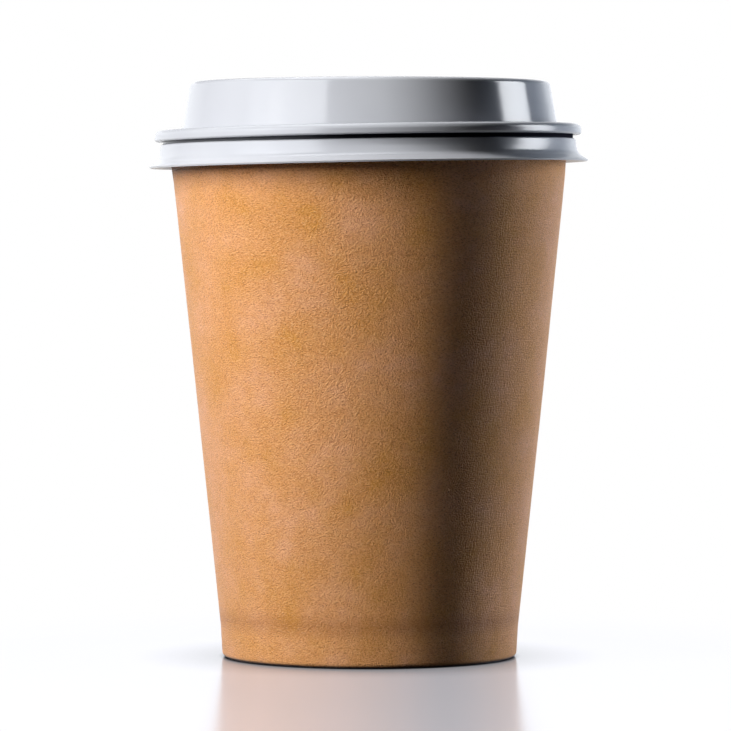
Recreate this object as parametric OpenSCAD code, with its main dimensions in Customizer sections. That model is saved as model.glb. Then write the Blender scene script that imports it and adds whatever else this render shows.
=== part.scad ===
// Paper coffee cup with a push-on travel lid.
// Every piece is a thin sheet, so each section is drawn as the middle line of its sheet:
// a few corners, the bend at each corner, and the thickness of the sheet.
// The origin is the middle of the foot, on the surface that the cup stands on. +Z is up, -Y is the front.

/* [Cup] */
// Height from the foot to the top of the rolled rim
cup_h = 112.6; // [90:0.1:140]
// Outer diameter of the rolled rim
rim_d = 90; // [84:0.1:98]
// Outer diameter of the foot
foot_d = 63; // [56:0.1:70]
// Thickness of the paperboard
paper_t = 0.4; // [0.3:0.01:0.5]
// Small space between sheets that lie on each other
sheet_gap = 0.05; // [0.03:0.01:0.1]

/* [Rolled rim] */
// Width of the roll, wall included
roll_w = 2.5; // [2.3:0.05:3]
// Height of the roll, which is pressed flat
roll_h = 1.2; // [1.1:0.05:1.5]

/* [Side seam] */
// Width of the glued lap at the rim
lap_w = 9; // [6:0.5:14]
// Width of the slope where the outer layer climbs over the inner one
ramp_w = 3; // [2:0.5:5]

/* [Foot] */
// Height of the pressed band above the foot
band_h = 6.4; // [5.8:0.1:9]
// How much wider the band is at its top, measured on the radius
band_flare = 0.35; // [0:0.05:0.8]
// Height of the base disc's top face
disc_h = 6.1; // [5.9:0.1:8]
// Height of the lower edge of the base disc's skirt
disc_skirt_z = 1.5; // [1.2:0.1:2]
// Height of the top edge of the hem
hem_h = 4.6; // [4:0.1:4.8]
// Height at which the hem starts to stand away from the skirt
pinch_h = 2.8; // [2.2:0.1:3.2]
// Width of the fold, between the middles of its two legs
fold_w = 2; // [1.9:0.05:2.2]
// Outer radius of the fold's outer corner
fold_round = 1.2; // [0.9:0.05:1.25]

/* [Lid] */
// Thickness of the plastic
lid_t = 0.4; // [0.3:0.01:0.5]
// Running space between the lid and the rolled rim
rim_gap = 0.15; // [0.1:0.01:0.25]
// Height of the drum above the rim of the cup
drum_h = 10.1; // [7:0.1:14]
// Diameter across the drum's top corner
drum_top_d = 76.6; // [70:0.1:78]
// Diameter of the drum level with the rim of the cup
drum_base_d = 80.1; // [78.5:0.1:80.2]
// Outer radius of the drum's top corner
drum_round = 1.1; // [0.8:0.1:2]
// Depth of the trough between the drum and the rim
trough_d = 3.4; // [2.5:0.1:4]

/* [Recessed deck] */
// Depth of the deck below the top of the drum
deck_depth = 5; // [3:0.1:7]
// Diameter of the recess at the top
deck_d = 54; // [44:0.5:56]
// How far the recess lies behind the middle, which leaves room to sip
deck_shift = 4; // [2:0.1:5]
// How much narrower the recess is at its floor, measured on the radius
deck_draft = 1; // [0.4:0.1:2]

/* [Sip hole and vent] */
// Width of the sip hole, front to back
sip_w = 5.5; // [4.5:0.1:6]
// Length of the sip hole along the drum's edge
sip_l = 15; // [10:0.5:20]
// Distance from the middle of the lid to the middle of the sip hole
sip_r = 31.4; // [30.6:0.1:32]
// Diameter of the vent hole
vent_d = 1.5; // [1:0.1:3]
// Distance of the vent hole behind the middle of the lid
vent_y = 22; // [10:0.5:24]

/* [Snap groove, skirt and lip] */
// Diameter at the bottom of the snap groove, on the outside
groove_d = 87.6; // [87.4:0.1:88]
// Open height of the groove, between the bead and the skirt
groove_w = 0.8; // [0.6:0.05:1]
// Diameter of the shoulder at the top of the skirt
shoulder_d = 88.7; // [88.6:0.1:89.2]
// Diameter of the skirt where the lip starts
skirt_d = 89.9; // [89.4:0.1:90.4]
// Depth of the lip's start below the rim of the cup
skirt_z = 6; // [5.8:0.1:8]
// Outer diameter of the lip
lip_d = 94; // [93:0.1:98]
// Drop of the lip from its start to its edge
lip_drop = 1.25; // [1:0.05:2]

/* [Hidden] */

paper_colour = [0.80, 0.57, 0.36];
white_board = [0.93, 0.92, 0.90];
lid_colour = [0.88, 0.89, 0.91];

facets = 180;
bend_facets = 48;
bend_step = 15;

// Wall of the cup: middle line from the top of the band to the rim
half_t = paper_t / 2;
band_foot = [foot_d / 2 - half_t, half_t];
band_top = [foot_d / 2 + band_flare - half_t, band_h];
wall_top = [rim_d / 2 - roll_w + half_t, cup_h - half_t];
function on_line(a, b, z) = a[0] + (b[0] - a[0]) * (z - a[1]) / (b[1] - a[1]);
function band_r(z) = on_line(band_foot, band_top, z);
function wall_r(z) = on_line(band_top, wall_top, z);
sheet_pitch = paper_t + sheet_gap;

// Fold at the foot
fold_bend = fold_w * 0.25;
pinch_bend = 1.5;
kink_bend = 4;

// Rolled rim
roll_bend = (roll_h - paper_t) / 2;
roll_bottom = cup_h - roll_h + half_t;

// Base disc
disc_bend = 0.8;

// Lid: middle line of the plastic round the rolled rim
lid_half = lid_t / 2;
hug = rim_gap + lid_half;
hug_bend = roll_bend + half_t + hug;
bead_top = cup_h + hug;
plug_offset = half_t + hug;
bead_in = wall_top[0] - plug_offset;
bead_out = rim_d / 2 + hug;
bead_low = cup_h - roll_h - hug;
shoulder_z = bead_low - lid_t - groove_w;
trough_z = cup_h - trough_d;
drum_top_z = cup_h + drum_h - lid_half;
drum_foot = [drum_base_d / 2 - lid_half, cup_h];
drum_head = [drum_top_d / 2 - lid_half, drum_top_z];
function drum_r(z) = on_line(drum_foot, drum_head, z);
trough_bend = 0.6;
groove_bend = 0.25;
lip_bend = 2.2;
deck_z = cup_h + drum_h - deck_depth - lid_half;
deck_bend = 1;
deck_r = deck_d / 2;

cut = 1;

// Direction from a to b, that direction turned a quarter to the left, and the turn at b, left positive
function along(a, b) = (b - a) / norm(b - a);
function left_of(u) = [-u[1], u[0]];
function turn_at(a, b, c) =
    let (u = along(a, b), v = along(b, c)) atan2(left_of(u) * v, u * v);

// Points of one bend round the corner b: r is the radius of the sheet's middle line,
// and out is how far the side that is wanted lies to the left of it
function bend_points(a, b, c, r, out) =
    let (
        u = along(a, b),
        turn = turn_at(a, b, c),
        hand = sign(turn),
        steps = ceil(abs(turn) / bend_step),
        middle = b - u * r * tan(abs(turn) / 2) + left_of(u) * hand * r
    )
    [
        for (k = [0 : steps])
            let (w = turn * k / steps)
            middle - (left_of(u) * cos(w) - u * sin(w)) * hand * (r - hand * out)
    ];

// One side of a sheet, from its first corner to its last
function side_points(p, bends, out) =
    let (last = len(p) - 1)
    [
        p[0] + left_of(along(p[0], p[1])) * out,
        for (i = [1 : last - 1])
            for (q = bend_points(p[i - 1], p[i], p[i + 1], bends[i - 1], out)) q,
        p[last] + left_of(along(p[last - 1], p[last])) * out
    ];

// Section of a sheet of thickness t along the middle line through the corners p.
// bends gives the radius of the middle line at each corner between the two ends.
module sheet(p, bends, t) {
    back = side_points(p, bends, -t / 2);
    polygon([
        each side_points(p, bends, t / 2),
        for (i = [len(back) - 1 : -1 : 0]) back[i]
    ]);
}

// The blank's section: hem, fold, band, wall and rolled rim, in the order in which the paper runs
module wall_section() {
    hem_shift = 2 * sheet_pitch;
    sheet(
        [
            [band_r(hem_h) - hem_shift, hem_h],
            [band_r(pinch_h) - hem_shift, pinch_h],
            [band_foot[0] - fold_w, half_t],
            band_foot,
            band_top,
            wall_top,
            [rim_d / 2 - half_t, wall_top[1]],
            [rim_d / 2 - half_t, roll_bottom],
            [wall_top[0] + half_t + sheet_gap, roll_bottom]
        ],
        [pinch_bend, fold_bend, fold_round - half_t, kink_bend, roll_bend, roll_bend, roll_bend],
        paper_t
    );
}

// Outer layer of the glued lap: a second thickness up the back of the wall, from the fold to the roll.
// Its middle line leaves half of the inner layer covered, so that the two are one solid.
module lap_section() {
    shift = paper_t * 0.75;
    foot = fold_round + half_t;
    head = roll_bottom - half_t - sheet_gap;
    sheet(
        [
            [band_r(foot) + shift, foot],
            [band_top[0] + shift, band_h],
            [wall_r(head) + shift, head]
        ],
        [kink_bend],
        paper_t * 1.5
    );
}

// One edge of the outer layer is the cut edge of the blank, and the other slopes down onto the wall
module side_lap() {
    half_lap = lap_w / wall_top[0] * 90 / PI;
    taper = atan2(wall_top[0] - band_top[0], wall_top[1] - band_top[1]);
    climb = atan(paper_t / ramp_w) - ramp_w / wall_top[0] * 90 / PI;
    intersection() {
        rotate_extrude(angle = 2 * half_lap, start = 90 - half_lap, $fn = facets) lap_section();
        rotate([0, 0, 90 - half_lap])
        translate([wall_top[0] + half_t, 0, wall_top[1]])
        rotate([0, taper, 0])
        rotate([0, 0, -climb])
        translate([-rim_d, -rim_d, -2 * cup_h])
        cube([rim_d, 2 * rim_d, 3 * cup_h]);
    }
}

module side_wall() {
    color(paper_colour)
    union() {
        rotate_extrude($fn = facets) wall_section();
        side_lap();
    }
}

module base_disc() {
    disc_mid = disc_h - half_t;
    color(white_board)
    rotate_extrude($fn = facets)
        sheet(
            [
                [0, disc_mid],
                [band_r(disc_mid) - sheet_pitch, disc_mid],
                [band_r(disc_skirt_z) - sheet_pitch, disc_skirt_z]
            ],
            [disc_bend],
            paper_t
        );
}

// The lid from the flat top of its drum out to the lip, before the deck is set into it
module lid_section() {
    sheet(
        [
            [0, drum_top_z],
            drum_head,
            [drum_r(trough_z), trough_z],
            [wall_r(trough_z) - plug_offset, trough_z],
            [bead_in, bead_top],
            [bead_out, bead_top],
            [bead_out, bead_low],
            [groove_d / 2 - lid_half, bead_low],
            [groove_d / 2 - lid_half, shoulder_z],
            [shoulder_d / 2 - lid_half, shoulder_z],
            [skirt_d / 2 - lid_half, cup_h - skirt_z],
            [lip_d / 2 - lid_half, cup_h - skirt_z - lip_drop]
        ],
        [
            drum_round - lid_half, trough_bend, trough_bend, hug_bend, hug_bend,
            groove_bend, groove_bend, groove_bend, groove_bend, lip_bend
        ],
        lid_t
    );
}

// The recess: its flat collar lies in the drum's top, where the top is cut away for it
module deck_section() {
    sheet(
        [
            [deck_r + deck_bend + cut, drum_top_z],
            [deck_r, drum_top_z],
            [deck_r - deck_draft, deck_z],
            [0, deck_z]
        ],
        [deck_bend, deck_bend],
        lid_t
    );
}

// Points along an arc, from one angle to another, both ends included
function arc(middle, r, from, to, steps) =
    [for (k = [0 : steps]) let (a = from + (to - from) * k / steps) middle + r * [cos(a), sin(a)]];

// Slot with round ends that follows the edge of the drum: its two long sides lie between the end points of its ends
module sip_hole() {
    half = (sip_l - sip_w) / sip_r * 90 / PI;
    front = -90;
    end_r = sip_w / 2;
    right = sip_r * [cos(front + half), sin(front + half)];
    left = sip_r * [cos(front - half), sin(front - half)];
    side_steps = 6;
    end_steps = 12;
    long_out = arc([0, 0], sip_r + end_r, front - half, front + half, side_steps);
    long_in = arc([0, 0], sip_r - end_r, front + half, front - half, side_steps);
    translate([0, 0, drum_top_z - cut])
    linear_extrude(2 * cut)
    polygon([
        for (k = [1 : side_steps - 1]) long_out[k],
        each arc(right, end_r, front + half, front + half + 180, end_steps),
        for (k = [1 : side_steps - 1]) long_in[k],
        each arc(left, end_r, front - half + 180, front - half + 360, end_steps)
    ]);
}

module lid() {
    color(lid_colour)
    difference() {
        union() {
            difference() {
                rotate_extrude($fn = facets) lid_section();
                translate([0, deck_shift, drum_top_z - cut])
                    cylinder(r = deck_r + deck_bend + cut, h = 2 * cut, $fn = facets);
            }
            translate([0, deck_shift, 0]) rotate_extrude($fn = facets) deck_section();
        }
        sip_hole();
        translate([0, vent_y, deck_z - cut]) cylinder(d = vent_d, h = 2 * cut, $fn = bend_facets);
    }
}

side_wall();
base_disc();
lid();
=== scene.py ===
import math

import bpy
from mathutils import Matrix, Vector


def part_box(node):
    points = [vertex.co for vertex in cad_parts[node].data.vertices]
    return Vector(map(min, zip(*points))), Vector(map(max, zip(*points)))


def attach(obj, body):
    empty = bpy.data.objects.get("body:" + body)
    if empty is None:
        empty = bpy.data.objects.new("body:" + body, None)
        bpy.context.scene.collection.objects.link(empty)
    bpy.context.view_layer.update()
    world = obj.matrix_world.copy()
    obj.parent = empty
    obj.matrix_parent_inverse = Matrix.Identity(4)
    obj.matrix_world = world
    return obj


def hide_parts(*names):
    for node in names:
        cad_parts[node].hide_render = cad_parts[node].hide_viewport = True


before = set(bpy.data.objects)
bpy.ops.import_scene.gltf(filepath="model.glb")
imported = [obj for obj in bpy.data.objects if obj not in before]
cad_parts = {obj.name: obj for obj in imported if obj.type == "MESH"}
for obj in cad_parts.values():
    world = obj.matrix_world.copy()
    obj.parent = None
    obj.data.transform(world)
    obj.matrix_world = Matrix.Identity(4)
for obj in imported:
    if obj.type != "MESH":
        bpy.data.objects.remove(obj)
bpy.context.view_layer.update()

mm = 0.001

# Side wall
# One fan-shaped blank of kraft board, brown outside and white inside, wrapped into a cone and glued in a
# lap at the back. Its top edge is rolled outward over itself, and its bottom edge is folded in and up round
# the base disc.

cup_rim_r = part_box("side_wall")[1][0] / mm
cup_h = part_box("side_wall")[1][2] / mm
board_t = 0.4
sheet_gap = 0.05
foot_r = 31.5
band_h = 6.4
band_flare = 0.35
band_bend = 4
roll_w = 2.5
roll_h = 1.2
hem_h = 4.6
pinch_h = 2.8
pinch_bend = 1.5
fold_w = 2.0
fold_round = 1.2
lap_w = 9.0
ramp_w = 3.0
wave_depth = 0.07
wave_grows = (0, 30)
wave_fades = (70, 105)
crease_h = 8.8
crease_w = 2.8

half_board = board_t / 2
sheet_pitch = board_t + sheet_gap
band_foot = Vector((foot_r - half_board, half_board))
band_top = Vector((foot_r + band_flare - half_board, band_h))
wall_top = Vector((cup_rim_r - roll_w + half_board, cup_h - half_board))
roll_out = cup_rim_r - half_board
roll_low = cup_h - roll_h + half_board
roll_bend = (roll_h - board_t) / 2
fold_bend = fold_w * 0.25


def on_line(a, b, z):
    return a.x + (b.x - a.x) * (z - a.y) / (b.y - a.y)


def band_r(z):
    return on_line(band_foot, band_top, z)


def wall_r(z):
    return on_line(band_top, wall_top, z)


def left_of(direction):
    return Vector((-direction.y, direction.x))


# A sheet's middle line is given by its corners, and by the radius of the bend at each corner between its
# ends. This follows one side of the sheet, out to the left of the line, in points about longest apart.
def sheet_side(corners, bends, out, longest, bend_step=math.radians(9)):
    points = []

    def run_to(target):
        if points:
            start = points[-1]
            pieces = max(1, math.ceil((target - start).length / longest))
            points.extend(start.lerp(target, k / pieces) for k in range(1, pieces))
        points.append(target)

    corners = [Vector(c) for c in corners]
    first = (corners[1] - corners[0]).normalized()
    run_to(corners[0] + left_of(first) * out)
    for before, corner, after, radius in zip(corners, corners[1:], corners[2:], bends):
        arriving = (corner - before).normalized()
        leaving = (after - corner).normalized()
        left = left_of(arriving)
        turn = math.atan2(left.dot(leaving), arriving.dot(leaving))
        hand = math.copysign(1, turn)
        middle = corner - arriving * radius * math.tan(abs(turn) / 2) + left * hand * radius
        steps = max(2, math.ceil(abs(turn) / bend_step))
        for k in range(steps + 1):
            turned = turn * k / steps
            spoke = (left * math.cos(turned) - arriving * math.sin(turned)) * hand
            point = middle - spoke * (radius - hand * out)
            if k == 0:
                run_to(point)
            else:
                points.append(point)
    last = (corners[-1] - corners[-2]).normalized()
    run_to(corners[-1] + left_of(last) * out)
    return points


# A thin sheet turned round the cup's axis: left and right are its two sides in the same order.
# place puts a point of a side at an angle, and pole says that the sheet starts on the axis.
# The left side gets the sheet's first material, the right side its second, and the edges its third.
def turned_sheet(name, left, right, angles, place, pole=False):
    loop = [(p, "left") for p in left] + [(p, "right") for p in reversed(right)]
    rows = len(loop)
    columns = len(angles)
    verts = [place(p, angle, side) for angle in angles for p, side in loop]
    faces = []
    sides = []
    for j in range(columns):
        column = j * rows
        next_column = ((j + 1) % columns) * rows
        for k in range(rows):
            if pole and k == rows - 1:
                continue
            after = (k + 1) % rows
            faces.append((column + k, column + after, next_column + after, next_column + k))
            if k < len(left) - 1:
                sides.append(0)
            elif len(left) <= k < rows - 1:
                sides.append(1)
            else:
                sides.append(2)
    if pole:
        for k, side in ((0, 0), (rows - 1, 1)):
            centre = len(verts)
            ring = [j * rows + k for j in range(columns)]
            middle = sum((Vector(verts[i]) for i in ring), Vector((0, 0, 0))) / columns
            verts.append(tuple(middle))
            for a, b in zip(ring, ring[1:] + ring[:1]):
                faces.append((centre, a, b) if k == 0 else (centre, b, a))
                sides.append(side)
    mesh = bpy.data.meshes.new(name)
    mesh.from_pydata(verts, [], faces)
    mesh.polygons.foreach_set("material_index", sides)
    mesh.update()
    piece = bpy.data.objects.new(name, mesh)
    bpy.context.scene.collection.objects.link(piece)
    return piece


# Angles all the way round, this many degrees apart.
def all_round(step):
    return [math.radians(step * k) for k in range(round(360 / step))]


# The larger faces beside a bend keep their own slope, so that a shine runs straight up to the bend.
def smooth_shading(piece, angle=math.radians(35)):
    mesh = piece.data
    mesh.polygons.foreach_set("use_smooth", [True] * len(mesh.polygons))
    mesh.set_sharp_from_angle(angle=angle)
    mesh.update()
    evened = piece.modifiers.new("even shine", "WEIGHTED_NORMAL")
    evened.mode = "FACE_AREA"
    evened.keep_sharp = True


def smoothstep(low, high, x):
    w = min(max((x - low) / (high - low), 0), 1)
    return w * w * (3 - 2 * w)


# The lid was pressed on a little askew, and the rim of the soft cup went with it: both are lower on the left,
# and lean out a little there. The drum's top stayed nearly level.
askew = 0.018
askew_heights = (cup_h - 24, cup_h - 6)
levelled = 0.855
levelled_heights = (cup_h, cup_h + 10)
top_rise = 0.16 * mm
lean = 0.3 * mm
lean_heights = (cup_h - 12, cup_h - 3)
lean_radii = (40.5, 42.3)


def askew_place(x, y, z):
    height = z / mm
    held = smoothstep(*askew_heights, height)
    freed = smoothstep(*levelled_heights, height)
    leant = lean * smoothstep(*lean_heights, height) * smoothstep(*lean_radii, math.hypot(x, y) / mm)
    rise = askew * x * (1 - levelled * freed) * held + top_rise * freed
    return (x - leant, y, z + rise)


lap_half = lap_w / wall_top.x / 2
lap_start = math.pi / 2 - lap_half
lap_end = math.pi / 2 + lap_half
ramp_angle = ramp_w / wall_top.x
cut_edge = math.radians(0.03)


def lap_rise(angle):
    if not lap_start < angle <= lap_end:
        return 0
    return min(1, (angle - lap_start) / ramp_angle)


# The board isn't a perfect cone: it waves very slightly, most of all halfway between the foot and the rim.
def wave(angle, z):
    between = smoothstep(*wave_grows, z) * (1 - smoothstep(*wave_fades, z))
    waves = math.sin(3 * angle + 0.05 * z) + 0.6 * math.sin(5 * angle - 0.09 * z + 1.3)
    return wave_depth * between * waves


def wall_place(p, angle, side):
    r = p.x
    z = p.y
    # The lap lies on the outside of the wall, from above the fold to below the roll
    outside = side == "right" and r > wall_r(z)
    if outside and fold_round < z < roll_low - half_board:
        r += board_t * lap_rise(angle)
    r += wave(angle, z)
    return askew_place(r * mm * math.cos(angle), r * mm * math.sin(angle), z * mm)


wall_corners = [
    (band_r(hem_h) - 2 * sheet_pitch, hem_h),
    (band_r(pinch_h) - 2 * sheet_pitch, pinch_h),
    (band_foot.x - fold_w, half_board),
    band_foot,
    band_top,
    wall_top,
    (roll_out, wall_top.y),
    (roll_out, roll_low),
    (wall_top.x + half_board + sheet_gap, roll_low),
]
wall_bends = [pinch_bend, fold_bend, fold_round - half_board, band_bend, roll_bend, roll_bend, roll_bend]
wall_angles = sorted(
    all_round(1.25) + [lap_start + ramp_angle * k / 5 for k in range(6)] + [lap_end, lap_end + cut_edge]
)
wall_inside = sheet_side(wall_corners, wall_bends, half_board, longest=5)
wall_outside = sheet_side(wall_corners, wall_bends, -half_board, longest=5)
side_wall = turned_sheet("kraft_side_wall", wall_inside, wall_outside, wall_angles, wall_place)
smooth_shading(side_wall)

# Where each point lay on the flat blank, in mm: across it from the front, and up it. The last figure tells
# the layers of a fold apart.
blank_mean_r = 38
blank_places = []
for v in side_wall.data.vertices:
    across = math.atan2(v.co.x, -v.co.y) * blank_mean_r
    blank_places.extend((across, v.co.z / mm, math.hypot(v.co.x, v.co.y) / mm))
blank_mark = side_wall.data.attributes.new("blank", "FLOAT_VECTOR", "POINT")
blank_mark.data.foreach_set("vector", blank_places)


# The nodes of a material or of the studio. Each helper adds a node and hands on what comes out of it.
class Nodes:
    def __init__(self, tree):
        self.nodes = tree.nodes
        self.links = tree.links

    def fill(self, socket, value):
        if isinstance(value, bpy.types.NodeSocket):
            self.links.new(value, socket)
        else:
            socket.default_value = value

    def add(self, kind, inputs=None, **settings):
        node = self.nodes.new(kind)
        for key, value in settings.items():
            setattr(node, key, value)
        for key, value in (inputs or {}).items():
            self.fill(node.inputs[key], value)
        return node

    def attribute(self, name, kind):
        return self.add("ShaderNodeAttribute", attribute_name=name).outputs[kind]

    def place(self, kind):
        return self.add("ShaderNodeTexCoord").outputs[kind]

    def along_axes(self, vector):
        return self.add("ShaderNodeSeparateXYZ", {0: vector}).outputs

    def noise(self, vector, scale, detail, roughness=0.5):
        node = self.add(
            "ShaderNodeTexNoise",
            {"Vector": vector, "Scale": scale, "Detail": detail, "Roughness": roughness},
        )
        return node.outputs["Fac"]

    # What runs from low to high comes out running from to_low to to_high, and stays there past either end
    def span(self, value, low, high, to_low=0.0, to_high=1.0):
        node = self.add(
            "ShaderNodeMapRange",
            {"Value": value, "From Min": low, "From Max": high, "To Min": to_low, "To Max": to_high},
        )
        return node.outputs["Result"]

    def maths(self, operation, a, b=0.0):
        return self.add("ShaderNodeMath", {0: a, 1: b}, operation=operation).outputs[0]

    def mix(self, factor, a, b):
        return self.add("ShaderNodeMix", {0: factor, 6: a, 7: b}, data_type="RGBA").outputs[2]

    def stretched(self, vector, degrees, scale):
        turn = (0, 0, math.radians(degrees))
        return self.add("ShaderNodeMapping", {"Vector": vector, "Rotation": turn, "Scale": scale}).outputs[0]

    def bump(self, height, distance, strength, below=None):
        inputs = {"Height": height, "Distance": distance, "Strength": strength}
        if below is not None:
            inputs["Normal"] = below
        return self.add("ShaderNodeBump", inputs).outputs["Normal"]

    # How open a place is: 1 in the open, and near 0 deep in a gap narrower than the distance
    def openness(self, distance):
        return self.add("ShaderNodeAmbientOcclusion", {"Distance": distance}, samples=16).outputs["AO"]


# A material and its shader.
class Finish(Nodes):
    def __init__(self, name):
        self.material = bpy.data.materials.new(name)
        self.material.use_nodes = True
        super().__init__(self.material.node_tree)
        self.shader = self.nodes["Principled BSDF"]

    def give(self, socket, value):
        self.fill(self.shader.inputs[socket], value)


def colour(red, green, blue):
    def linear(c):
        c /= 255
        return c / 12.92 if c <= 0.04045 else ((c + 0.055) / 1.055) ** 2.4

    return (linear(red), linear(green), linear(blue), 1)


# Unbleached kraft: long fibres that lie mostly across the blank, cloudy formation, and a fine tooth.
def kraft_finish(name, base, light, dark, deep, pale, painted_gap_shade):
    kraft = Finish(name)
    blank = kraft.attribute("blank", "Vector")
    clouds = kraft.noise(blank, scale=0.07, detail=3, roughness=0.55)
    patches = kraft.noise(kraft.stretched(blank, -30, (0.7, 1.1, 1)), scale=0.35, detail=2)
    fibres = kraft.noise(kraft.stretched(blank, -35, (0.75, 1.5, 1)), scale=3.2, detail=2, roughness=0.6)
    cross_fibres = kraft.noise(kraft.stretched(blank, 40, (0.8, 1.4, 1)), scale=2.7, detail=2)
    tooth = kraft.noise(blank, scale=3.1, detail=2, roughness=0.6)
    tone = kraft.mix(kraft.span(clouds, 0.35, 0.65), dark, light)
    tone = kraft.mix(kraft.span(patches, 0.36, 0.66, 0, 0.6), tone, base)
    grain = kraft.maths("MULTIPLY", cross_fibres, 0.4)
    grain = kraft.maths("ADD", kraft.maths("MULTIPLY", fibres, 0.6), grain)
    tone = kraft.mix(kraft.span(grain, 0.36, 0.5, 0.55, 0), tone, deep)
    tone = kraft.mix(kraft.span(grain, 0.5, 0.64, 0, 0.55), tone, pale)
    # A soft darker band is painted round the wall along the crease just above the hem
    height = kraft.along_axes(blank)["Y"]
    from_crease = kraft.maths("ABSOLUTE", kraft.maths("SUBTRACT", height, crease_h))
    tone = kraft.mix(kraft.span(from_crease, 0, crease_w, 0.3, 0), tone, deep)
    # Painted shade: where a gap is narrower than 1.5 mm, as below the rim, the base colour turns near black,
    # since little light finds its way up into it
    gap = kraft.span(kraft.openness(1.5 * mm), 0.2, 0.6)
    kraft.give("Base Color", kraft.mix(gap, painted_gap_shade, tone))
    kraft.give("Roughness", 0.46)
    kraft.give("Specular IOR Level", 0.2)
    kraft.give("Sheen Weight", 0.22)
    kraft.give("Sheen Roughness", 0.4)
    kraft.give("Sheen Tint", (0.9, 0.88, 1.0, 1))
    relief = kraft.maths("ADD", fibres, kraft.maths("MULTIPLY", cross_fibres, 0.8))
    normal = kraft.bump(tooth, distance=0.3 * mm, strength=0.9)
    kraft.give("Normal", kraft.bump(relief, distance=0.2 * mm, strength=0.75, below=normal))
    return kraft.material


def white_board_finish(name, base, shade):
    board = Finish(name)
    place = board.place("Object")
    clouds = board.noise(place, scale=220, detail=4, roughness=0.6)
    fibres = board.noise(board.stretched(place, 20, (1, 3, 1)), scale=1500, detail=3)
    board.give("Base Color", board.mix(board.span(clouds, 0.35, 0.7), base, shade))
    board.give("Roughness", 0.42)
    board.give("Normal", board.bump(fibres, distance=0.03 * mm, strength=0.4))
    return board.material


def cut_edge_finish(name, base, shade):
    edge = Finish(name)
    place = edge.place("Object")
    layers = edge.noise(edge.stretched(place, 0, (1, 1, 6)), scale=900, detail=3, roughness=0.6)
    edge.give("Base Color", edge.mix(edge.span(layers, 0.35, 0.7), base, shade))
    edge.give("Roughness", 0.85)
    edge.give("Normal", edge.bump(layers, distance=0.06 * mm, strength=0.6))
    return edge.material


kraft = kraft_finish(
    "kraft board",
    base=colour(225, 157, 95),
    light=colour(234, 171, 126),
    dark=colour(218, 152, 75),
    deep=colour(146, 84, 40),
    pale=colour(244, 192, 138),
    # The painted shade in narrow gaps
    painted_gap_shade=(0.01, 0.005, 0.003, 1),
)
white_board = white_board_finish("white board", colour(238, 235, 229), colour(228, 223, 214))
cut_board = cut_edge_finish("cut board", colour(196, 150, 108), colour(222, 190, 150))
for material in (white_board, kraft, cut_board):
    side_wall.data.materials.append(material)
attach(side_wall, "cup")
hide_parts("side_wall")

# Base disc
# A punched disc of white board, raised above the table inside the foot. Its middle is drawn up slightly, as
# pressed board is. Its edge is turned down into a skirt, which is glued inside the wall's hem.

disc_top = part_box("base_disc")[1][2] / mm
disc_skirt_low = 1.5
disc_bend = 0.8
drawn_up = 0.12
drawn_radii = (4, 27)
disc_mid = disc_top - half_board


def disc_place(p, angle, side):
    lift = drawn_up * (1 - smoothstep(*drawn_radii, p.x))
    return (p.x * mm * math.cos(angle), p.x * mm * math.sin(angle), (p.y + lift) * mm)


disc_corners = [
    (0.5, disc_mid),
    (band_r(disc_mid) - sheet_pitch, disc_mid),
    (band_r(disc_skirt_low) - sheet_pitch, disc_skirt_low),
]
disc_above = sheet_side(disc_corners, [disc_bend], half_board, longest=4)
disc_below = sheet_side(disc_corners, [disc_bend], -half_board, longest=4)
base_disc = turned_sheet("base_disc_board", disc_above, disc_below, all_round(2), disc_place, pole=True)
smooth_shading(base_disc)
for material in (white_board, white_board, cut_board):
    base_disc.data.materials.append(material)
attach(base_disc, "cup")
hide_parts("base_disc")

# Lid
# One sheet of pale grey polystyrene, formed hot over a mould. It has a raised drum with a deck set into
# it, a sip hole and a vent, a bead that sits over the rolled rim, a groove that grips under it, a skirt and
# a lip.

lid_t = 0.4
rim_gap = 0.15
lid_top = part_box("lid")[1][2] / mm
lip_r = 47.0
lip_bend = 2.2
lip_drop = 1.25
drum_top_r = 38.55
drum_base_r = 40.3
drum_round = 1.1
trough_depth = 3.4
trough_bend = 0.6
deck_depth = 5.0
deck_r = 27.0
deck_shift = 4.0
deck_draft = 1.0
deck_bend = 1
land_margin = 1.2
groove_r = 43.8
groove_w = 0.8
groove_bend = 0.25
groove_close = 0.22 * mm
shoulder_r = 44.35
skirt_r = 44.95
skirt_drop = 6.0
skirt_hollow = 0.15
skirt_bend = 6
polished_above = 113.8
dull_below = 112.8

lid_half = lid_t / 2
hug = rim_gap + lid_half
hug_bend = roll_h / 2 + hug
bead_low = cup_h - roll_h - hug
shoulder_z = bead_low - lid_t - groove_w
skirt_low = cup_h - skirt_drop
bead_top = cup_h + hug
plug_offset = half_board + hug
trough_z = cup_h - trough_depth
drum_top = lid_top - lid_half
deck_z = lid_top - deck_depth - lid_half
drum_foot = Vector((drum_base_r - lid_half, cup_h))
drum_head = Vector((drum_top_r - lid_half, drum_top))

lid_corners = [
    (0.5, deck_z),
    (deck_r - deck_draft, deck_z),
    (deck_r, drum_top),
    drum_head,
    (on_line(drum_foot, drum_head, trough_z), trough_z),
    (wall_r(trough_z) - plug_offset, trough_z),
    (wall_top.x - plug_offset, bead_top),
    (cup_rim_r + hug, bead_top),
    (cup_rim_r + hug, bead_low),
    (groove_r - lid_half, bead_low),
    (groove_r - lid_half, shoulder_z),
    (shoulder_r - lid_half, shoulder_z),
    ((shoulder_r + skirt_r) / 2 - lid_half - skirt_hollow, (shoulder_z + skirt_low) / 2),
    (skirt_r - lid_half, skirt_low),
    (lip_r - lid_half, skirt_low - lip_drop),
]
lid_bends = [deck_bend, deck_bend, drum_round - lid_half, trough_bend, trough_bend, hug_bend, hug_bend]
lid_bends += [groove_bend] * 4 + [skirt_bend, lip_bend]


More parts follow.
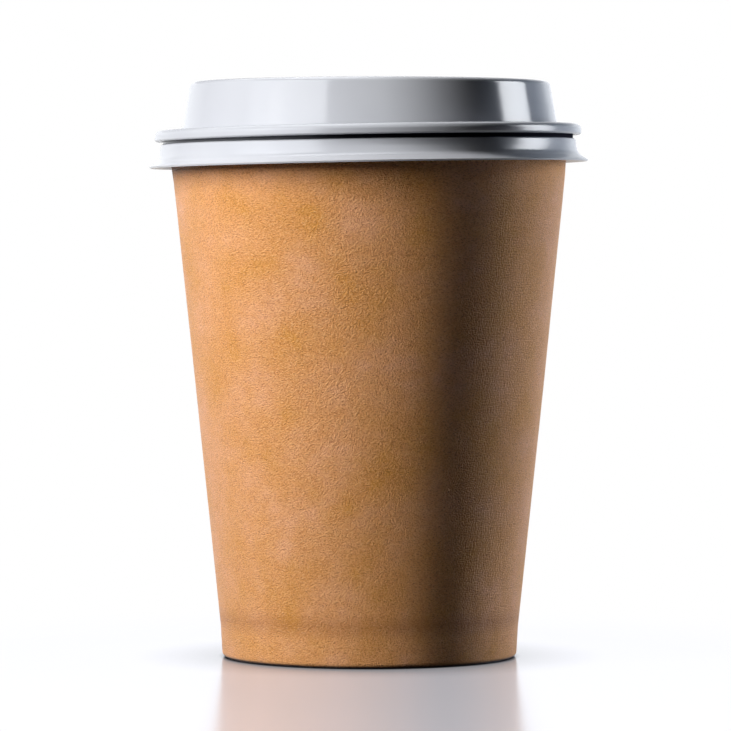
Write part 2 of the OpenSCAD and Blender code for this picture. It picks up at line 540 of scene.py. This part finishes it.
# The deck lies behind the middle: it has the whole shift, and the land round it takes that up by the drum.
def lid_place(p, angle, side):
    back = deck_shift * (1 - smoothstep(deck_r + land_margin, drum_top_r - land_margin, p.x))
    return (p.x * mm * math.cos(angle), (p.x * math.sin(angle) + back) * mm, p.y * mm)


lid_above = sheet_side(lid_corners, lid_bends, lid_half, longest=3.5)
lid_below = sheet_side(lid_corners, lid_bends, -lid_half, longest=3.5)
lid = turned_sheet("drinking_lid", lid_above, lid_below, all_round(1.5), lid_place, pole=True)

# Its holes: a slot with round ends that follows the drum's edge, and a small round vent in the deck.
sip_w = 5.5
sip_l = 15.0
sip_r = 31.4
vent_r = 0.75
vent_y = 22.0


def arc_points(middle, radius, start, end, steps):
    angles = [start + (end - start) * k / steps for k in range(steps + 1)]
    return [(middle[0] + radius * math.cos(a), middle[1] + radius * math.sin(a)) for a in angles]


# Cuts a hole with this outline through the sheet, from a little under the height to a little over it.
def punch(piece, outline, height):
    count = len(outline)
    verts = [(x * mm, y * mm, z * mm) for z in (height - 1, height + 1) for x, y in outline]
    faces = [tuple(reversed(range(count))), tuple(range(count, 2 * count))]
    faces += [(k, (k + 1) % count, count + (k + 1) % count, count + k) for k in range(count)]
    mesh = bpy.data.meshes.new("punch")
    mesh.from_pydata(verts, [], faces)
    tool = bpy.data.objects.new("punch", mesh)
    bpy.context.scene.collection.objects.link(tool)
    cut = piece.modifiers.new("hole", "BOOLEAN")
    cut.operation = "DIFFERENCE"
    cut.solver = "EXACT"
    cut.object = tool
    bpy.context.view_layer.update()
    result = bpy.data.meshes.new_from_object(piece.evaluated_get(bpy.context.evaluated_depsgraph_get()))
    piece.modifiers.remove(cut)
    piece.data = result
    bpy.data.objects.remove(tool)


sip_half = (sip_l - sip_w) / sip_r / 2
front = -math.pi / 2
sip_right = (sip_r * math.cos(front + sip_half), sip_r * math.sin(front + sip_half))
sip_left = (sip_r * math.cos(front - sip_half), sip_r * math.sin(front - sip_half))
sip_outline = (
    arc_points((0, 0), sip_r + sip_w / 2, front - sip_half, front + sip_half, steps=8)[1:-1]
    + arc_points(sip_right, sip_w / 2, front + sip_half, front + sip_half + math.pi, steps=16)
    + arc_points((0, 0), sip_r - sip_w / 2, front + sip_half, front - sip_half, steps=8)[1:-1]
    + arc_points(sip_left, sip_w / 2, front - sip_half + math.pi, front - sip_half + 2 * math.pi, steps=16)
)
punch(lid, sip_outline, drum_top)
punch(lid, arc_points((0, vent_y), vent_r, 0, 2 * math.pi, steps=24)[:-1], deck_z)

left_r = 42
left_light = 0.3
mark_slack = 0.05
mark_depths = (0.05, 0.8)
lip_soft = 0.5


# How far round towards the left a point lies: 0 in front and on the right, 1 on the left.
def leftward(x):
    return smoothstep(0, left_r, -x / mm)


# How dark the snap groove is painted, as painted shade: 0 outside it, and darkest at its bottom. It is
# painted lighter on the left, where some light reaches in.
def painted_groove_shade(point):
    floor = shoulder_z + lid_half - mark_slack
    roof = bead_low - lid_half + mark_slack
    if not floor < point.z / mm < roof:
        return 0.0
    out = math.hypot(point.x, point.y) / mm - groove_r
    return (1 - smoothstep(*mark_depths, out)) * (1 - left_light * leftward(point.x))


# The lip stands free of the cup: 1 on it, and 0 on the rest of the lid. It masks the lip's painted light.
def lip_free(point):
    return smoothstep(lip_soft, -lip_soft, point.z / mm - skirt_low)


for mark_name, mark_of in (("groove_painted_shade", painted_groove_shade), ("free_lip", lip_free)):
    mark = lid.data.attributes.new(mark_name, "FLOAT", "POINT")
    mark.data.foreach_set("value", [mark_of(v.co) for v in lid.data.vertices])

# On the left the lid was pressed down harder, and its groove is narrower there.
for v in lid.data.vertices:
    below_groove = v.co.z / mm < shoulder_z + groove_w / 2
    closing = smoothstep(skirt_low, shoulder_z, v.co.z / mm) if below_groove else 0
    v.co.z += groove_close * closing * leftward(v.co.x)
    v.co = askew_place(*v.co)
smooth_shading(lid)


def polystyrene_finish(name, base, shade, pale, dark):
    plastic = Finish(name)
    place = plastic.place("Object")
    flow = plastic.noise(place, scale=45, detail=3)
    skin = plastic.noise(place, scale=700, detail=2)
    haze = plastic.noise(place, scale=120, detail=4, roughness=0.6)
    tone = plastic.mix(plastic.span(flow, 0.35, 0.7), base, shade)
    # Painted light: the free lip is painted paler, standing in for the light that comes through it from
    # behind
    tone = plastic.mix(plastic.attribute("free_lip", "Fac"), tone, pale)
    # Painted shade: the bottom of the groove is painted dark and has no shine there, since no light finds its
    # way to it
    groove_shade = plastic.attribute("groove_painted_shade", "Fac")
    plastic.give("Base Color", plastic.mix(groove_shade, tone, dark))
    plastic.give("Specular IOR Level", plastic.span(groove_shade, 0, 1, 0.5, 0))
    # The drum was drawn over the polished middle of the mould, and the bead and skirt are duller
    level = plastic.along_axes(place)["Z"]
    dull = plastic.span(level, polished_above * mm, dull_below * mm, 0, 0.11)
    plastic.give("Roughness", plastic.maths("ADD", plastic.span(haze, 0.3, 0.75, 0.09, 0.15), dull))
    plastic.give("IOR", 1.59)
    normal = plastic.bump(flow, distance=0.4 * mm, strength=0.1)
    plastic.give("Normal", plastic.bump(skin, distance=0.02 * mm, strength=0.12, below=normal))
    return plastic.material


lid_plastic = polystyrene_finish(
    "lid plastic",
    base=colour(186, 189, 196),
    shade=colour(181, 184, 192),
    # pale is the painted light on the free lip
    pale=colour(210, 213, 220),
    # dark is the painted shade at the bottom of the groove
    dark=(0.02, 0.02, 0.028, 1),
)
lid.data.materials.clear()
for material in (lid_plastic, lid_plastic, lid_plastic):
    lid.data.materials.append(material)
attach(lid, "lid")
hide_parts("lid")

# Table
# A glossy white table top, which the cup stands on. Its shine shows a blurred reflection of the cup.
# Away from the cup it fades into the white backdrop.

table_half = 3.0
table_ior = 1.5
table_lift = 1.02
fade_from = 0.055
fade_to = 0.13
front_share = 0.2
contact_w = 2 * mm
shadow_w = 20 * mm

table_corners = [(-1, -1), (1, -1), (1, 1), (-1, 1)]
table_mesh = bpy.data.meshes.new("table")
table_mesh.from_pydata([(x * table_half, y * table_half, 0) for x, y in table_corners], [], [(0, 1, 2, 3)])
table = bpy.data.objects.new("table", table_mesh)
bpy.context.scene.collection.objects.link(table)
table_top = Finish("white table")
table_top.give("Base Color", (0.03, 0.03, 0.032, 1))
table_top.give("Roughness", 0.2)
table_top.give("IOR", table_ior)
spot = table_top.along_axes(table_top.add("ShaderNodeNewGeometry").outputs["Position"])
# A way in front of the cup counts for a fifth of one behind it, so the white closes in sooner behind
either_way = table_top.maths("MULTIPLY", table_top.maths("ABSOLUTE", spot["Y"]), (1 - front_share) / 2)
behind = table_top.maths("MULTIPLY", spot["Y"], (1 + front_share) / 2)
behind = table_top.maths("ADD", either_way, behind)
from_cup = table_top.add("ShaderNodeCombineXYZ", {"X": spot["X"], "Y": behind}).outputs[0]
reach = table_top.add("ShaderNodeVectorMath", {0: from_cup}, operation="LENGTH").outputs["Value"]
far = table_top.add(
    "ShaderNodeMapRange",
    {"Value": reach, "From Min": fade_from, "From Max": fade_to, "To Min": 0, "To Max": 1},
    interpolation_type="SMOOTHSTEP",
).outputs["Result"]
# Its white is what the camera and the mirrored view see. It lights nothing
table_path = table_top.add("ShaderNodeLightPath").outputs
table_seen = table_top.maths("MAXIMUM", table_path["Is Camera Ray"], table_path["Is Glossy Ray"])
table_seen = table_top.maths("MAXIMUM", table_seen, table_path["Is Transmission Ray"])
table_direct = table_top.maths("LESS_THAN", table_path["Diffuse Depth"], 0.5)
table_seen = table_top.maths("MULTIPLY", table_seen, table_direct)
# Painted shadow: its white is painted darker close to the foot, and it is darker where the shine takes the
# place of the white
painted_contact_shadow = table_top.span(table_top.openness(contact_w), 0.3, 0.8)
shadow = table_top.maths("MULTIPLY", table_top.openness(shadow_w), painted_contact_shadow)
shine = table_top.add("ShaderNodeFresnel", {"IOR": table_ior}).outputs["Fac"]
unshone = table_top.maths("SUBTRACT", 1.0, shine)
lift = table_top.maths("MULTIPLY", table_top.maths("MULTIPLY", unshone, shadow), table_lift)
lift = table_top.maths("MULTIPLY", lift, table_seen)
lift = table_top.add("ShaderNodeEmission", {"Strength": lift, "Color": (0.95, 0.93, 1.0, 1)}).outputs[0]
lifted = table_top.add("ShaderNodeAddShader", {0: table_top.shader.outputs[0], 1: lift}).outputs[0]
bright = table_top.add("ShaderNodeEmission").outputs[0]
far = table_top.maths("MULTIPLY", far, table_seen)
faded = table_top.add("ShaderNodeMixShader", {0: far, 1: lifted, 2: bright}).outputs[0]
table_top.fill(table_top.nodes["Material Output"].inputs["Surface"], faded)
table_mesh.materials.append(table_top.material)

# Camera
# A long lens a metre away, a little below the height of the lid. It looks slightly down at the front of the
# cup, and its focal length and its aim are given in pixels of the picture.

image_px = 731
focal_px = 4600
axis_px = 369.4
horizon_px = 236
camera_distance = 0.985
camera_height = 0.090
sensor_mm = 36

centre_px = image_px / 2
camera_data = bpy.data.cameras.new("camera")
camera_data.sensor_width = sensor_mm
camera_data.sensor_fit = "HORIZONTAL"
camera_data.lens = focal_px / image_px * sensor_mm
camera_data.clip_start = 0.01
camera_data.clip_end = 50
camera = bpy.data.objects.new("camera", camera_data)
bpy.context.scene.collection.objects.link(camera)
bpy.context.scene.camera = camera
camera.location = (-(axis_px - centre_px) / focal_px * camera_distance, -camera_distance, camera_height)
pitch = math.atan((centre_px - horizon_px) / focal_px)
camera.rotation_euler = (math.pi / 2 - pitch, 0, 0)

# Studio light
# A softbox stands high on the left, and a cool fill behind on the right. What shines mirrors the rest of
# the studio: its walls, white boxes on the left, in front and overhead, a narrow strip on the right, and
# the backdrop.

room_light = 0.012
mirror_tint = (0.94, 0.965, 1.0, 1)
lamp_aim = Vector((0, 0, 0.07))


# A lamp at an azimuth from the front towards the right, and an elevation, both in degrees.
# It isn't mirrored itself, because the boxes below stand for it there.
def softbox(name, azimuth, elevation, distance, size, radiance, tint):
    width, height = size
    data = bpy.data.lights.new(name, "AREA")
    data.shape = "RECTANGLE"
    data.size = width
    data.size_y = height
    data.energy = radiance * math.pi * width * height
    data.color = tint
    lamp = bpy.data.objects.new(name, data)
    bpy.context.scene.collection.objects.link(lamp)
    side = math.radians(azimuth)
    up = math.radians(elevation)
    away = Vector((math.sin(side) * math.cos(up), -math.cos(side) * math.cos(up), math.sin(up)))
    lamp.location = lamp_aim + away * distance
    lamp.rotation_euler = (-away).to_track_quat("-Z", "Y").to_euler()
    lamp.visible_glossy = False


softbox(
    "key",
    azimuth=-59.5,
    elevation=27,
    distance=0.62,
    size=(0.12, 0.42),
    radiance=36.0,
    tint=(1.0, 0.985, 0.97),
)
softbox(
    "back_fill",
    azimuth=124,
    elevation=6,
    distance=0.7,
    size=(0.18, 0.3),
    radiance=30.0,
    tint=(0.8, 0.88, 1.0),
)

# How bright the studio is in a mirror, at each bearing in degrees from the front towards the right.
room_levels = [
    (-180, 0.75), (-165, 0.6), (-150, 0.5), (-135, 0.4), (-115, 0.6), (-80, 0.8), (-40, 0.5), (0, 0.4),
    (30, 0.2), (60, 0.05), (84, 0.05), (100, 0.1), (140, 0.1), (149, 0.3), (156, 0.7), (165, 0.85),
    (180, 0.75),
]
left_box_levels = [
    (-180, 0.0), (-155, 0.0), (-142, 0.3), (-109, 1.1), (-84, 2.0), (-78, 3.2), (-51, 4.4), (-28, 5.4),
    (-26, 0.0), (180, 0.0),
]
front_box_levels = [
    (-180, 0.0), (-32, 0.0), (-26, 1.7), (8, 2.7), (26, 2.1), (46, 0.9), (66, 0.2), (75, 0.0), (180, 0.0),
]
top_box_levels = [
    (-180, 4.6), (-160, 4.4), (-145, 2.2), (-110, 1.2), (-60, 0.6), (0, 0.4), (90, 0.1), (130, 0.5),
    (146, 2.4), (158, 2.4), (167, 3.4), (180, 4.6),
]
overhead_levels = [(-180, 4.6), (-90, 5.0), (0, 4.4), (60, 2.6), (100, 1.8), (150, 3.0), (180, 4.6)]
strip_levels = [(-180, 0.0), (90, 0.0), (93.5, 10.0), (106, 9.0), (117, 6.2), (119, 0.0), (180, 0.0)]
backdrop_levels = [
    (-180, 1.35), (-150, 1.3), (-130, 0.9), (-115, 0.0), (125, 0.0), (140, 0.6), (150, 1.3), (180, 1.35),
]

world = bpy.data.worlds.new("studio")
bpy.context.scene.world = world
world.use_nodes = True
studio = Nodes(world.node_tree)
studio.nodes.clear()
direction = studio.along_axes(studio.place("Generated"))
bearing = studio.maths("ARCTAN2", direction["X"], studio.maths("MULTIPLY", direction["Y"], -1.0))
bearing = studio.span(bearing, -math.pi, math.pi)
height = studio.maths("ARCSINE", direction["Z"])


# 1 from the low to the high angle above the horizon, and fading out over the soft angle past each.
def by_height(low, high, soft):
    low, high, soft = (math.radians(angle) for angle in (low, high, soft))
    above = studio.span(height, low - soft, low)
    below = studio.span(height, high, high + soft, 1, 0)
    return studio.maths("MULTIPLY", above, below)


def by_bearing(levels):
    top = max(level for degrees, level in levels)
    ramp = studio.add("ShaderNodeValToRGB", {0: bearing})
    stops = ramp.color_ramp.elements
    for degrees, level in levels[1:-1]:
        stops.new((degrees + 180) / 360)
    for stop, (degrees, level) in zip(stops, levels):
        stop.color = (level / top, level / top, level / top, 1)
    return studio.maths("MULTIPLY", ramp.outputs["Color"], top)


room = by_bearing(room_levels)
mirrored = room
for levels, heights in (
    (left_box_levels, by_height(-6, 40, 4)),
    (front_box_levels, by_height(17, 60, 7)),
    (top_box_levels, by_height(46, 90, 14)),
    (overhead_levels, by_height(66, 90, 14)),
    (strip_levels, by_height(-6, 25, 4)),
    (backdrop_levels, by_height(-20, 13, 6)),
):
    mirrored = studio.maths("MAXIMUM", mirrored, studio.maths("MULTIPLY", by_bearing(levels), heights))

# The backdrop is plain white to the camera, and what is dull gets only a faint light from the room.
path = studio.add("ShaderNodeLightPath").outputs
seen = studio.maths("MAXIMUM", path["Is Camera Ray"], path["Is Transmission Ray"])
direct = studio.maths("LESS_THAN", path["Diffuse Depth"], 0.5)
glossy = studio.maths("MULTIPLY", path["Is Glossy Ray"], direct)
strength = studio.span(glossy, 0, 1, studio.maths("MULTIPLY", room, room_light), mirrored)
strength = studio.span(seen, 0, 1, strength, 1)
tint = studio.mix(glossy, (1, 1, 1, 1), mirror_tint)
background = studio.add("ShaderNodeBackground", {"Color": tint, "Strength": strength}).outputs[0]
studio.add("ShaderNodeOutputWorld", {"Surface": background})

bpy.context.scene.view_settings.view_transform = "Standard"

bpy.context.view_layer.update()
